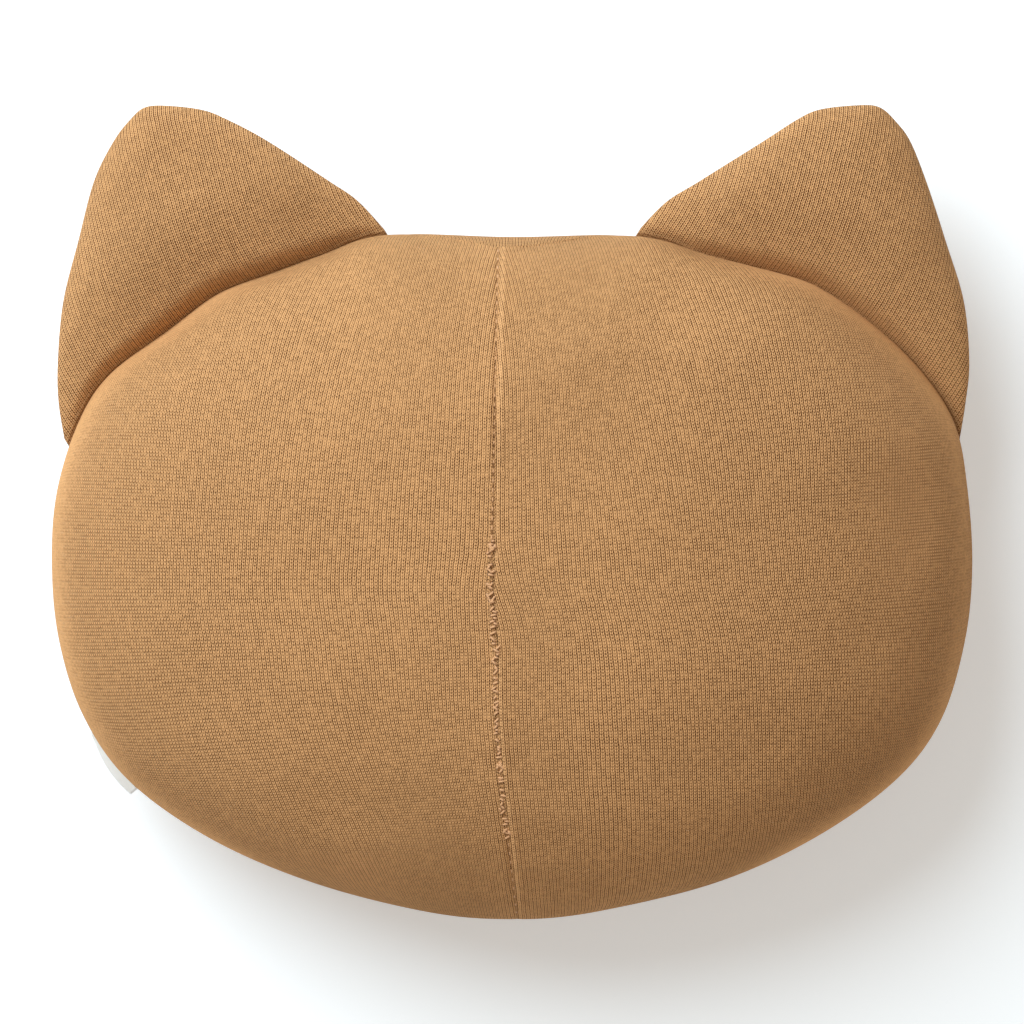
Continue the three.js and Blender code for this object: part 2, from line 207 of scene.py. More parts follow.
knit_cloth, n, shader = new_material("tan_knit", sheen=0.3)
shader.inputs["Specular IOR Level"].default_value = 0.06
shader.inputs["Sheen Tint"].default_value = (1.0, 0.58, 0.27, 1.0)
place = n.add("ShaderNodeTexCoord").outputs["Object"]
knit = n.add("ShaderNodeGroup", node_tree=knit_group)
n.join(n.add("ShaderNodeUVMap", uv_map="Knit").outputs["UV"], knit.inputs["Columns and rows"])
n.join(place, knit.inputs["Place"])
knit = knit.outputs
patches = n.noise(place, 16.0, 4.0, 0.6)
flecks = n.noise(place, 520.0, 2.0, 0.6)
seams = n.add("ShaderNodeSeparateXYZ", n.add("ShaderNodeUVMap", uv_map="Seam").outputs["UV"]).outputs
from_centre = n.math("ABSOLUTE", seams["X"])
along = n.product(n.add("ShaderNodeSeparateXYZ", place).outputs["Y"], 1 / MM)

# The centre seam gapes in dashes of uneven length, and is tufted where it was closed by hand. The gaps and
# the spaces among the tufts are darkened with painted shade.
dashes = n.product(along, 2 * math.pi / DASH_PITCH)
gape = n.math("SINE", n.math("MULTIPLY_ADD", n.noise(place, 70.0, 1.0), 14.0, dashes))
gape = n.math("MULTIPLY_ADD", n.noise(place, 110.0, 1.0), 2.6, n.math("SUBTRACT", gape, 1.3))
gape = n.product(n.spread(gape, -1.0, -0.3), n.spread(from_centre, 0.75, 0.25),
                 n.spread(along, DASHES[0] - 6, DASHES[0] + 4),
                 n.spread(along, DASHES[1] + 12, DASHES[1] - 8), 0.8)
by_hand = n.product(n.spread(from_centre, 2.6, 0.7), n.spread(along, CLOSING[0] - 5, CLOSING[0] + 8),
                    n.spread(along, CLOSING[1] + 5, CLOSING[1] - 3))
tufts = n.product(by_hand, n.spread(n.noise(place, 640.0, 2.0), 0.46, 0.60))
# Painted shade in the valley of every seam: the centre seam, the rim seam, and the ears' edges and roots.
seam_shade = n.product(n.spread(from_centre, 0.8, 0.1), n.math("MULTIPLY_ADD", by_hand, -0.25, 0.45))
seam_shade = n.highest(seam_shade, n.product(n.spread(seams["Y"], 1.1, 0.2), 0.7))

# Out from the centre the painted shade in the holes deepens and the painted highlight on the stitch tops
# grows. Down the head's sides the stitches fade.
far_from_centre = n.spread(from_centre, 50.0, 150.0)
beside = n.product(n.spread(from_centre, 80.0, 130.0), n.spread(from_centre, 240.0, 200.0))
clear = n.math("MULTIPLY_ADD", n.product(n.spread(seams["Y"], 52.0, 12.0), beside), -0.7, 1.0)
# Painted shade in the knit's holes, with random flecks, deeper out from the centre.
holes = n.product(knit["Hole"], n.math("MULTIPLY_ADD", flecks, 1.3, 0.35),
                  n.math("MULTIPLY_ADD", far_from_centre, 0.7, 1.0), clear)
# Painted shade in the crease where each ear's root meets the head, from the root out to 6 mm.
crease = n.product(n.spread(seams["X"], EAR_ROOT_AT + 6.0, EAR_ROOT_AT),
                   n.spread(seams["X"], EAR_ROOT_AT - 1.0, EAR_ROOT_AT))
# All the darkening gathered here is painted shade: holes, seams, seam gaps, tufts and ear creases.
dark = n.highest(holes, seam_shade, gape, n.product(tufts, 0.35), n.product(crease, 0.6))
# The raised ridge beside the centre seam and along the outer seams lifts the relief and is also painted
# lighter, a painted highlight.
ridge = n.product(n.spread(seams["X"], 0.7, 1.5), n.spread(seams["X"], 3.2, 2.0))
ridge = n.highest(ridge, n.product(n.spread(seams["Y"], 0.5, 1.1), n.spread(seams["Y"], 2.6, 1.6)))

colour = n.mix(dark, TAN, TAN_PAINTED_SHADE)
haze = n.spread(knit["Fibre"], 0.52, 0.72, 0.0, 0.40)
# Painted highlight on the tops of the stitch legs, stronger out from the centre.
leg_top_highlight = n.product(n.spread(knit["Height"], 0.55, 1.0), n.math("MULTIPLY_ADD", far_from_centre, 0.55, 0.25), clear)
# Lightening: the random haze of loose fibre, painted highlights on the seam ridges and stitch tops, and
# lighter cloth along the hand-closed part of the centre seam.
lighter = n.highest(haze, n.product(ridge, 0.5), n.product(by_hand, 0.3), leg_top_highlight)
colour = n.mix(n.product(lighter, n.math("SUBTRACT", 1.0, dark)), colour, TAN_LIGHT)
tone = n.product(n.math("MULTIPLY_ADD", patches, 0.16, 0.92), n.math("MULTIPLY_ADD", flecks, 0.30, 0.85))
tone_colour = n.add("ShaderNodeCombineColor", tone, tone, tone).outputs[0]
n.join(n.mix(1.0, colour, tone_colour, "MULTIPLY"), shader.inputs["Base Color"])
relief = n.math("MULTIPLY_ADD", knit["Fibre"], 0.35, n.product(knit["Height"], clear))
relief = n.math("MULTIPLY_ADD", ridge, 0.8, n.math("MULTIPLY_ADD", tufts, -1.6, relief))
n.bump(relief, 1.0, KNIT_RELIEF, shader)
n.join(n.spread(knit["Fibre"], 0.2, 0.8, 0.86, 0.98), shader.inputs["Roughness"])

# ---------------------------------------------------------------- back panels
# The two halves of the back, knit sewn together down the centre and to the face panel round the rim, and
# blown out as held cloth. The head they cover is flat in the middle and steep at the rim, and its rim seam
# is pulled up towards the back between the ears.

back_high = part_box("back_panel_right")[1][2] / MM
thread_low, thread_high = (corner[2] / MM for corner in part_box("rim_seam_thread"))
RIM_Z = thread_low + 0.35        # the rim seam, where it isn't pulled up
RIM_LIFT = thread_high - thread_low + 2.5
LIFT_HALF_WIDTH = 60.0
RIM_PULL = (1.3, 2.6)            # depth and width of the cloth drawn in along the rim seam
CROWN = back_high - RIM_Z
FLATNESS = 2.6
CENTRE = np.array([0.0, -25.0])
RIM = [
    (0, 113.5), (-52, 114.5), (-79, 106.5), (-99, 99.2), (-121, 90.5), (-141, 76), (-166, 57), (-179, 37),
    (-188, 8), (-190, -22), (-187, -53), (-177, -84), (-158, -111), (-124, -135), (-82, -153), (-35, -165),
    (0, -168), (35, -165), (84, -153), (124, -135), (158, -111), (177, -86), (187, -53), (190, -22),
    (188, 10), (183, 36), (170, 57), (152, 75), (130, 91), (112, 98.5), (81, 106), (52, 114),
]
CENTRE_SEAM = [(-5.5, 116), (-6, 87), (-6.8, 46), (-8.1, -14), (-8.9, -28), (-6.8, -53), (-6.4, -78),
               (-4.8, -103), (-3.5, -115), (-0.6, -140), (2.5, -170)]
# Shallow hollows and swells: place, size across and height.
LUMPS = [(152, 6, 22, -1.6), (-140, -78, 28, -1.8), (-30, -55, 26, 1.0), (45, -5, 24, 0.8),
         (-6, -100, 16, -1.2)]


def smooth_line(points, closed, per_span=24):
    """Points on a Catmull-Rom curve through the given ones: each span is a cubic whose slope at a point is
    half the step between that point's neighbours."""
    p = np.asarray(points, float)
    p = np.vstack([p[-1:], p, p[:2]]) if closed else np.vstack([2 * p[0] - p[1], p, 2 * p[-1] - p[-2]])
    a, b, c, d = p[:-3, None], p[1:-2, None], p[2:-1, None], p[3:, None]
    t = (np.arange(per_span) / per_span)[None, :, None]
    line = 0.5 * (2 * b + (c - a) * t + (2 * a - 5 * b + 4 * c - d) * t**2 + (3 * b - a - 3 * c + d) * t**3)
    line = line.reshape(-1, p.shape[1])
    return line if closed else np.vstack([line, p[-2]])


def ease(x, low, high):
    """0 at low, 1 at high, and a smooth step between them."""
    t = np.clip((x - low) / (high - low), 0, 1)
    return t * t * (3 - 2 * t)


def unevenness(x, y, seed, size, octaves=2):
    """Smooth swells in two directions: a sum of sines with random phases and headings, about -1 to 1."""
    rng = np.random.default_rng(seed)
    total = np.zeros(np.broadcast(x, y).shape)
    for octave in range(octaves):
        for _ in range(7):
            heading, phase = rng.uniform(0, 2 * math.pi, 2)
            pitch = size / (1.6**octave) * rng.uniform(0.75, 1.35)
            wave = (x * math.cos(heading) + y * math.sin(heading)) * 2 * math.pi / pitch + phase
            total = total + np.sin(wave) / (2.0**octave)
    return total / 4.5


rim_line = smooth_line(RIM, closed=True)
rim_from_centre = rim_line - CENTRE
rim_angle = np.unwrap(np.arctan2(rim_from_centre[:, 1], rim_from_centre[:, 0]))
rim_reach = np.hypot(rim_from_centre[:, 0], rim_from_centre[:, 1])
seam_points = smooth_line(CENTRE_SEAM, closed=False)


def seam_x(y):
    return np.interp(-y, -seam_points[:, 1], seam_points[:, 0])


def reach_at(angle):
    """Distance from the head's middle to its rim in a direction."""
    return np.interp(angle, rim_angle, rim_reach, period=2 * math.pi)


def rim_seam_z(x, y):
    arch = np.cos(math.pi * np.clip(x, -LIFT_HALF_WIDTH, LIFT_HALF_WIDTH) / (2 * LIFT_HALF_WIDTH)) ** 2
    return RIM_Z + RIM_LIFT * arch * (y > 0)


def share_at_height(z):
    """How far out from the middle the back is at a height: 1 at the rim."""
    return (1 - np.clip((z - RIM_Z) / CROWN, 0, 1) ** 2) ** (1 / FLATNESS)


def back_height(x, y):
    """Height of the back over a place: the rim, plus the crown times the square root of 1 - share^flatness,
    with the filling's lumps."""
    dx, dy = x - CENTRE[0], y - CENTRE[1]
    share = np.clip(np.hypot(dx, dy) / reach_at(np.arctan2(dy, dx)), 0, 1)
    full = np.sqrt(np.clip(1 - share**FLATNESS, 0, 1))
    lumps = 1.1 * unevenness(x, y, 11, 120.0)
    for cx, cy, size, depth in LUMPS:
        lumps = lumps + depth * np.exp(-((x - cx) ** 2 + (y - cy) ** 2) / size**2)
    return RIM_Z + CROWN * full + lumps * full


# Distances over the back, on a net of 1 mm: from the centre seam along X, and from the middle along Y.
net_x = np.arange(-196.0, 197.0)
net_y = np.arange(-174.0, 121.0)
net_height = back_height(net_x[None, :], net_y[:, None])
slope_y, slope_x = np.gradient(net_height)
run_x = np.cumsum(np.sqrt(1 + np.clip(slope_x, -4, 4) ** 2), axis=1)
run_y = np.cumsum(np.sqrt(1 + np.clip(slope_y, -4, 4) ** 2), axis=0)
seam_columns = seam_x(net_y) - net_x[0]
run_x -= np.array([np.interp(c, np.arange(len(net_x)), r) for c, r in zip(seam_columns, run_x)])[:, None]
run_y -= run_y[int(CENTRE[1] - net_y[0])][None, :]


def read_net(net, x, y):
    """The net's value at places between its points, from the four round each."""
    i = np.clip(x - net_x[0], 0, len(net_x) - 1.001)
    j = np.clip(y - net_y[0], 0, len(net_y) - 1.001)
    i0, j0 = i.astype(int), j.astype(int)
    u, v = i - i0, j - j0
    low = net[j0, i0] * (1 - u) + net[j0, i0 + 1] * u
    high = net[j0 + 1, i0] * (1 - u) + net[j0 + 1, i0 + 1] * u
    return low * (1 - v) + high * v


# Lean of a panel's stitch columns from upright, in degrees, at heights in Y: positive leans to the right.
LEAN = {
    -1: ([-170, -145, -100, -60, -25, 10, 45, 80, 115], [-21, -19, -15, -6, 0, 5, 10, 17, 21]),
    1: ([-170, -145, -100, -60, -35, 25, 60, 90, 115], [8, 7, 2, -5, -8.5, -12, -15, -19, -22]),
}
# The same right beside the centre seam.
LEAN_BESIDE = {
    -1: ([-170, 40, 75, 115], [-3, 1, 8, 18]),
    1: ([-170, 40, 75, 115], [1, -1.5, -10, -26]),
}
DRAWN_IN = {-1: 3.0, 1: -8.0}   # shift of the columns beside the seam where it was closed by hand


def drift_of(y, heights, leans):
    """How far a stitch column has moved aside at heights in Y: its lean added up from the head's middle."""
    steps = np.linspace(-180, 130, 311)
    drift = np.cumsum(np.tan(np.radians(np.interp(steps, heights, leans)))) * (steps[1] - steps[0])
    return np.interp(y, steps, drift) - np.interp(CENTRE[1], steps, drift)


def knit_on_back(x, y, side):
    """Stitch columns and rows at places on the back. A column is a line of one distance from the centre
    seam, shifted by the lean added up along the panel. Beside the seam the columns keep closer to it, and
    are drawn in where it was closed by hand."""
    from_seam = read_net(run_x, x, y)
    away = np.abs(from_seam)
    free = ease(away, 0, 60)
    drift = drift_of(y, *LEAN[side]) * (free - 0.6 * ease(away, 60, 170) * ease(y, -20, 30))
    drift = drift + drift_of(y, *LEAN_BESIDE[side]) * (1 - free)
    drawn = DRAWN_IN[side] * np.exp(-((from_seam / 24) ** 2)) * (1 - ease(y, -50, -8))
    closer = from_seam * 0.10 * (away / 150) ** 2
    columns = (from_seam + closer - drift + drawn) / WALE
    lean = np.tan(np.radians(np.interp(y, *LEAN[side])))
    rows = (read_net(run_y, x, y) + 0.35 * from_seam * lean) / COURSE
    return np.stack([columns, rows], axis=-1)


def make_piece(node, look, points, quads, maps, closed=False):
    """The piece that stands for a CAD node: points, four-cornered faces and UV maps that give each point a
    pair of numbers. Points that fall together at a pole or a tip are merged, and a closed form's faces are
    turned outward."""
    mesh = bpy.data.meshes.new(f"{node}_{look}")
    mesh.from_pydata((points.reshape(-1, 3) * MM).tolist(), [], quads.tolist())
    for layer_name, values in maps.items():
        layer = mesh.uv_layers.new(name=layer_name)
        layer.data.foreach_set("uv", values.reshape(-1, 2)[quads.ravel()].ravel().astype(np.float32))
    mesh.polygons.foreach_set("use_smooth", np.ones(len(quads), bool))
    form = bmesh.new()
    form.from_mesh(mesh)
    bmesh.ops.remove_doubles(form, verts=form.verts, dist=1e-6)
    bmesh.ops.dissolve_degenerate(form, edges=form.edges, dist=1e-7)
    if closed:
        bmesh.ops.recalc_face_normals(form, faces=form.faces)
    form.to_mesh(mesh)
    form.free()
    piece = bpy.data.objects.new(f"{node}_{look}", mesh)
    scene.collection.objects.link(piece)
    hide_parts(node)
    return piece


def grid_quads(index, wrap=False):
    """Faces joining neighbours in a grid of point numbers; wrap joins the last column to the first."""
    if wrap:
        index = np.concatenate([index, index[..., :1]], axis=-1)
    corners = [index[..., :-1, :-1], index[..., :-1, 1:], index[..., 1:, 1:], index[..., 1:, :-1]]
    return np.stack([c.ravel() for c in corners], axis=1)


def vertices_of(mesh):
    places = np.empty(len(mesh.vertices) * 3)
    mesh.vertices.foreach_get("co", places)
    return places.reshape(-1, 3)


def inflate(piece, pressure, most_travel, frames=20, smoothing=12):
    """Blows a panel out from the inside as cloth that is held along its edges. The travel of its points is
    evened out among neighbours and kept below most_travel millimetres. The result is applied."""
    mesh = piece.data
    start = vertices_of(mesh)
    ends = np.empty(len(mesh.edges) * 2, int)
    mesh.edges.foreach_get("vertices", ends)
    ends = ends.reshape(-1, 2)
    loops = np.empty(len(mesh.loops), int)
    mesh.loops.foreach_get("edge_index", loops)
    held = np.unique(ends[np.bincount(loops, minlength=len(ends)) == 1])
    group = piece.vertex_groups.new(name="held")
    group.add(held.tolist(), 1.0, "REPLACE")
    cloth = piece.modifiers.new("Cloth", "CLOTH")
    cloth.settings.quality = 4
    cloth.settings.mass = 0.2
    cloth.settings.tension_stiffness = 25
    cloth.settings.compression_stiffness = 25
    cloth.settings.shear_stiffness = 10
    cloth.settings.bending_stiffness = 2
    cloth.settings.use_pressure = True
    cloth.settings.uniform_pressure_force = pressure
    cloth.settings.vertex_group_mass = "held"
    cloth.settings.effector_weights.gravity = 0
    cloth.collision_settings.use_collision = False
    for number in range(1, frames + 1):
        scene.frame_set(number)
    travel = vertices_of(piece.evaluated_get(bpy.context.evaluated_depsgraph_get()).to_mesh()) - start
    piece.modifiers.remove(cloth)
    piece.vertex_groups.remove(group)
    scene.frame_set(1)
    neighbours = np.bincount(ends.ravel(), minlength=len(start))[:, None]
    for _ in range(smoothing):
        around = np.zeros_like(travel)
        np.add.at(around, ends[:, 0], travel[ends[:, 1]])
        np.add.at(around, ends[:, 1], travel[ends[:, 0]])
        travel = 0.5 * travel + 0.5 * around / neighbours
        travel[held] = 0
    length = np.linalg.norm(travel, axis=1, keepdims=True)
    limit = most_travel * MM
    travel *= limit * np.tanh(length / limit) / np.maximum(length, 1e-9)
    mesh.vertices.foreach_set("co", (start + travel).ravel())
    mesh.update()


def refine(piece):
    soft = piece.modifiers.new("Subdivision", "SUBSURF")
    soft.levels = soft.render_levels = 1
    soft.boundary_smooth = "PRESERVE_CORNERS"
    bpy.context.view_layer.objects.active = piece
    bpy.ops.object.modifier_apply(modifier=soft.name)


def finish_panel(piece):
    refine(piece)
    piece.data.materials.append(knit_cloth)


BACK_ROWS = 150
# Places from the centre seam to the rim: close together beside the seam, and again where the rim is steep.
BACK_COLUMNS = np.array([0, 0.0015, 0.003, 0.005, 0.0075, 0.011, 0.016, 0.023])
BACK_COLUMNS = np.concatenate([BACK_COLUMNS, np.linspace(0.033, 1, 58)])


def drawn_in(distance, depth, width):
    """Cloth pulled inwards at a line of sewing, most on the line."""
    return -depth * np.exp(-((distance / width) ** 2))


def back_panel(name, side):
    """Rows run from the centre seam out to the rim seam, like the lines of a half moon."""
    share_along = np.linspace(0, 1, BACK_ROWS)[:, None]
    slope = math.pi * (0.5 - share_along)
    angle = math.pi / 2 - side * math.pi * share_along
    share = np.abs(np.sin(slope)) ** (2 / FLATNESS)
    top_share = share_at_height(RIM_Z + RIM_LIFT)
    share = np.where(slope > 0, share * top_share, share)
    seam_y = CENTRE[1] + np.sign(slope) * share * reach_at(np.where(slope > 0, math.pi / 2, -math.pi / 2))
    start_x = seam_x(seam_y)
    outward = np.stack([np.cos(angle), np.sin(angle)], axis=-1)
    rim = CENTRE + outward * reach_at(angle)[..., None]
    rim_z = rim_seam_z(rim[..., 0], rim[..., 1])
    rim = CENTRE + (rim - CENTRE) * share_at_height(rim_z)[..., None]
    out = 1 - (1 - BACK_COLUMNS[None, :]) ** 2
    x = start_x + (rim[..., 0] - start_x) * out
    y = seam_y + (rim[..., 1] - seam_y) * out
    z = back_height(x, y)
    knit = knit_on_back(x, y, side)
    from_centre = read_net(run_x, x, y)
    from_centre = np.where(BACK_COLUMNS[None, :] == 0, 0, np.abs(from_centre))
    from_rim = np.hypot(x - rim[..., 0], y - rim[..., 1]) + np.maximum(z - rim_z, 0)
    by_hand = ease(y, CLOSING[0] - 10, CLOSING[0] + 10) * ease(y, CLOSING[1] + 12, CLOSING[1] - 4)
    z = z + (1 - 0.45 * by_hand) * drawn_in(from_centre, 1.0, 1.2) + by_hand * drawn_in(from_centre, 0.5, 3.5)
    if side > 0:
        z = z - drawn_in(from_centre - 2.6, 0.35, 1.3)
    pull = drawn_in(from_rim, *RIM_PULL)
    away = np.stack([x - CENTRE[0], y - CENTRE[1]], axis=-1)
    away /= np.maximum(np.linalg.norm(away, axis=-1, keepdims=True), 1e-6)
    points = np.concatenate([np.stack([x, y], axis=-1) + away * pull[..., None], z[..., None]], axis=-1)
    seam = np.stack([side * from_centre, from_rim], axis=-1)
    quads = grid_quads(np.arange(x.size).reshape(x.shape))[:, ::side]
    piece = make_piece(name, "knit", points, quads, {"Knit": knit, "Seam": seam})
    inflate(piece, pressure=4.0, most_travel=1.5)
    finish_panel(piece)
    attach(piece, "head")


back_panel("back_panel_left", -1)
back_panel("back_panel_right", 1)

# ---------------------------------------------------------------- face panel
# One piece of the same knit from the rim seam down round the sides and under the head, where the surface
# that the head lies on presses it flat. The head's filling, loose white polyester, is the same form inside.

FACE_DROP = RIM_Z + 5.0
FACE_PRESSED = 0.9       # the cloth's own thickness under the head
FILLING_INSET = 5.0
CLEAR_OF_SEAMS = 999.0   # for the distance from a seam that a panel doesn't touch
FACE_ROUND = 240
FACE_RINGS = 56
FILLING_ROUND = 72
FILLING_RINGS = 36
FIBRE_WHITE = (0.88, 0.88, 0.86, 1.0)
FIBRE_SHADE = (0.62, 0.62, 0.60, 1.0)


def head_below(angle, polar, inset=0.0):
    """Places on the head at headings round it and angles down from the top of the back."""
    reach = reach_at(angle) - inset
    share = np.sin(polar) ** (2 / FLATNESS)
    lift = np.cos(polar)
    x = CENTRE[0] + reach * share * np.cos(angle)
    y = CENTRE[1] + reach * share * np.sin(angle)
    z = RIM_Z + np.where(lift > 0, CROWN - inset, FACE_DROP - inset) * lift
    z = z + unevenness(x, y, 5, 110.0) * np.sin(polar) ** 2 * (lift < 0)
    return x, y, inset + np.sqrt(np.maximum(z - inset, 0) ** 2 + FACE_PRESSED**2)


def face_panel():
    """Rings run round the head from the rim seam to the middle of the face."""
    angle = np.linspace(0, 2 * math.pi, FACE_ROUND, endpoint=False)[None, :]
    rim_z = rim_seam_z(reach_at(angle) * np.cos(angle), np.sin(angle))
    first = np.arccos(np.clip((rim_z - RIM_Z) / CROWN, 0, 1))
    polar = first + (math.pi - first) * np.linspace(0, 1, FACE_RINGS)[:, None]
    x, y, z = head_below(angle, polar)
    steps = np.sqrt(np.diff(x, axis=0) ** 2 + np.diff(y, axis=0) ** 2 + np.diff(z, axis=0) ** 2)
    from_rim = np.vstack([np.zeros((1, x.shape[1])), np.cumsum(steps, axis=0)])
    from_middle = from_rim[-1:] - from_rim
    knit = np.stack([from_middle * np.cos(angle) / WALE, from_middle * np.sin(angle) / COURSE], axis=-1)
    pull = drawn_in(from_rim, *RIM_PULL)
    points = np.stack([x + np.cos(angle) * pull, y + np.sin(angle) * pull, z], axis=-1)
    seam = np.stack([np.full_like(from_rim, CLEAR_OF_SEAMS), from_rim], axis=-1)
    quads = grid_quads(np.arange(x.size).reshape(x.shape), wrap=True)
    piece = make_piece("face_panel", "knit", points, quads, {"Knit": knit, "Seam": seam})
    inflate(piece, pressure=2.0, most_travel=0.5)
    finish_panel(piece)
    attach(piece, "head")


filling_fibre, n, shader = new_material("white_filling_fibre", sheen=0.2)
place = n.add("ShaderNodeTexCoord").outputs["Object"]
tufted = n.noise(place, 90.0, 6.0, 0.7)
n.join(n.mix(n.spread(tufted, 0.35, 0.7), FIBRE_SHADE, FIBRE_WHITE), shader.inputs["Base Color"])
n.join(n.spread(tufted, 0.2, 0.8, 0.85, 1.0), shader.inputs["Roughness"])
n.bump(tufted, 0.8, 2.0, shader)


def finish_filling(piece):
    piece.data.materials.append(filling_fibre)


def head_filling():
    angle = np.linspace(0, 2 * math.pi, FILLING_ROUND, endpoint=False)[None, :]
    polar = np.linspace(0, math.pi, FILLING_RINGS)[:, None]
    x, y, z = head_below(angle, polar, FILLING_INSET)
    points = np.stack([x, y, z], axis=-1)
    clumps = unevenness(x + z, y - z, 21, 26.0)[..., None] * np.sin(polar)[..., None]
    points[..., :2] += clumps * np.stack([np.cos(angle), np.sin(angle)], axis=-1)
    quads = grid_quads(np.arange(x.size).reshape(x.shape), wrap=True)
    piece = make_piece("head_filling", "fibre", points, quads, {}, closed=True)
    finish_filling(piece)
    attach(piece, "head")


face_panel()
head_filling()

# ---------------------------------------------------------------- ears
# Each ear is two panels of the same knit sewn round their edge, with loose filling between them. Its root
# is sewn flat into the head's rim seam, so the ear slopes down into the crease beside the head.

EAR_INNER = np.array([52.0, 114.5])
EAR_OUTER = np.array([184.5, 31.0])
EAR_Z = 66.0
EAR_THICK = 21.0
EAR_SLOPE = (10.0, 44.0)   # how far out of the crease the ear is steep, and full
EAR_ROOT_IN = 4.0
EAR_LENGTH = float(np.linalg.norm(EAR_OUTER - EAR_INNER))
EAR_ALONG = (EAR_OUTER - EAR_INNER) / EAR_LENGTH
EAR_OUT = np.array([-EAR_ALONG[1], EAR_ALONG[0]])
# Each ear's edge: distance along the line between its corners, and distance out from it.
EAR_EDGE = {
    -1: [(-1, 0), (2.4, 18.4), (8.2, 31.9), (21, 59.5), (29.9, 75), (36, 83.5), (47, 92.6), (56, 97.7),
         (64, 96.5), (74, 92.8), (90, 83), (108.4, 65.7), (127, 48), (142.3, 28.3), (151, 14.2), (158, -2)],
    1: [(-1.2, 0), (2.6, 18), (9.9, 33), (23.5, 61), (30, 75), (36, 84), (51, 95.6), (57.5, 97.9),
        (65, 96.3), (74, 92.8), (88.3, 82.4), (108.4, 65.7), (128, 48.8), (143.4, 29), (151, 14.4),
        (158, -2)],
}
EAR_WALE = 1.6
EAR_LEAN = (-4.0, 16.0)   # turn of the stitch columns from the line out of the root, at it and further out
EAR_PANEL_GRID = (96, 40)       # places from corner to corner, and from the root to the edge
EAR_FILLING_GRID = (40, 20)
EAR_FILLING_MIDDLE = 36.0       # out from the line between the corners
EAR_SIDES = ((-1, "left"), (1, "right"))


def ear_place(side, along, out, z):
    flat = EAR_INNER + along[..., None] * EAR_ALONG + out[..., None] * EAR_OUT
    return np.stack([side * flat[..., 0], flat[..., 1], z + 0 * along], axis=-1)


def ear_grid(side, rows, cols):
    """Distances along and out, and the half thickness, from the ear's root to its edge."""
    share = (1 - np.cos(np.linspace(0, math.pi, rows)[:, None])) / 2
    along = -0.5 + (EAR_LENGTH + 1.0) * share
    edge = smooth_line(EAR_EDGE[side], closed=False)
    rim = (rim_line * [side, 1] - EAR_INNER) @ np.stack([EAR_ALONG, EAR_OUT], axis=1)
    rim = rim[rim[:, 1] > -30]
    rim = rim[np.argsort(rim[:, 0])]
    root = np.interp(along, rim[:, 0], rim[:, 1]) - EAR_ROOT_IN
    edge = np.maximum(np.interp(along, edge[:, 0], edge[:, 1]), root + 0.5)
    q = 1 - (1 - np.linspace(0, 1, cols)[None, :]) ** 1.6
    out = root + (edge - root) * q
    ends = (2 * np.sqrt(np.clip(share * (1 - share), 0, 1))) ** 0.75
    width = np.clip((edge - root) / 60.0, 0, 1) ** 0.45
    rise = 0.5 * ease(out - root, 0, EAR_SLOPE[0]) + 0.5 * ease(out - root, -2, EAR_SLOPE[1])
    thick = EAR_THICK * ends * width * rise * np.sqrt(np.clip(1 - q**3, 0, 1))
    return along + 0 * out, out, thick * (1 + 0.05 * unevenness(along, out, 31 + side, 60.0))


def bend_with_ear(piece):
    """The piece's placement is baked into its points; the piece isn't bent and joins no body."""
    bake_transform(piece)


def ear_panel(side, side_name, half, kind):
    along, out, thick = ear_grid(side, *EAR_PANEL_GRID)
    steps = np.sqrt(np.diff(out, axis=1) ** 2 + np.diff(thick, axis=1) ** 2)
    run = np.hstack([np.zeros((len(out), 1)), np.cumsum(steps, axis=1)]) + out[:, :1]
    lean = np.tan(np.radians(EAR_LEAN[0] + (EAR_LEAN[1] - EAR_LEAN[0]) * ease(run - run[:, :1], 0, 50)))
    drift = np.hstack([np.zeros((len(out), 1)), np.cumsum(lean[:, 1:] * np.diff(run, axis=1), axis=1)])
    knit = np.stack([side * (along + drift) / EAR_WALE, (run - 0.2 * along) / COURSE], axis=-1)
    from_edge = run[:, -1:] - run
    from_crease = np.maximum(run - run[:, :1] - EAR_ROOT_IN, 0)
    seam = np.stack([EAR_ROOT_AT + from_crease, np.minimum(from_edge, from_crease)], axis=-1)
    points = ear_place(side, along, out + drawn_in(from_edge, 0.8, 2.0), EAR_Z + half * thick)
    quads = grid_quads(np.arange(out.size).reshape(out.shape))[:, ::-side * half]
    piece = make_piece(f"{side_name}_ear_{kind}_panel", "knit", points, quads, {"Knit": knit, "Seam": seam})
    inflate(piece, pressure=2.0, most_travel=0.8)
    finish_panel(piece)
    bend_with_ear(piece)


def ear_filling(side, side_name):
    """The ear's own form, a little smaller all round."""
    along, out, thick = ear_grid(side, *EAR_FILLING_GRID)
    middle = np.array([EAR_LENGTH / 2, EAR_FILLING_MIDDLE])
    along, out = middle[0] + (along - middle[0]) * 0.88, middle[1] + (out - middle[1]) * 0.86
    thick = np.maximum(thick * 0.86 - 0.6, 0.1)
    along, out = (np.hstack([a, a[:, ::-1]]) for a in (along, out))
    half = np.hstack([thick, -thick[:, ::-1]])
    points = ear_place(side, along, out, EAR_Z + half)
    quads = grid_quads(np.arange(out.size).reshape(out.shape), wrap=True)
    caps = np.arange(out.size).reshape(out.shape)[[0, -1]]
    layer = EAR_FILLING_GRID[1]
    folded = np.stack([caps[:, :layer], caps[:, :layer - 1:-1]], axis=1)
    quads = np.vstack([quads, grid_quads(folded)])
    piece = make_piece(f"{side_name}_ear_filling", "fibre", points, quads, {}, closed=True)
    finish_filling(piece)
    bend_with_ear(piece)


for side, side_name in EAR_SIDES:
    ear_panel(side, side_name, 1, "back")
    ear_panel(side, side_name, -1, "face")
    ear_filling(side, side_name)

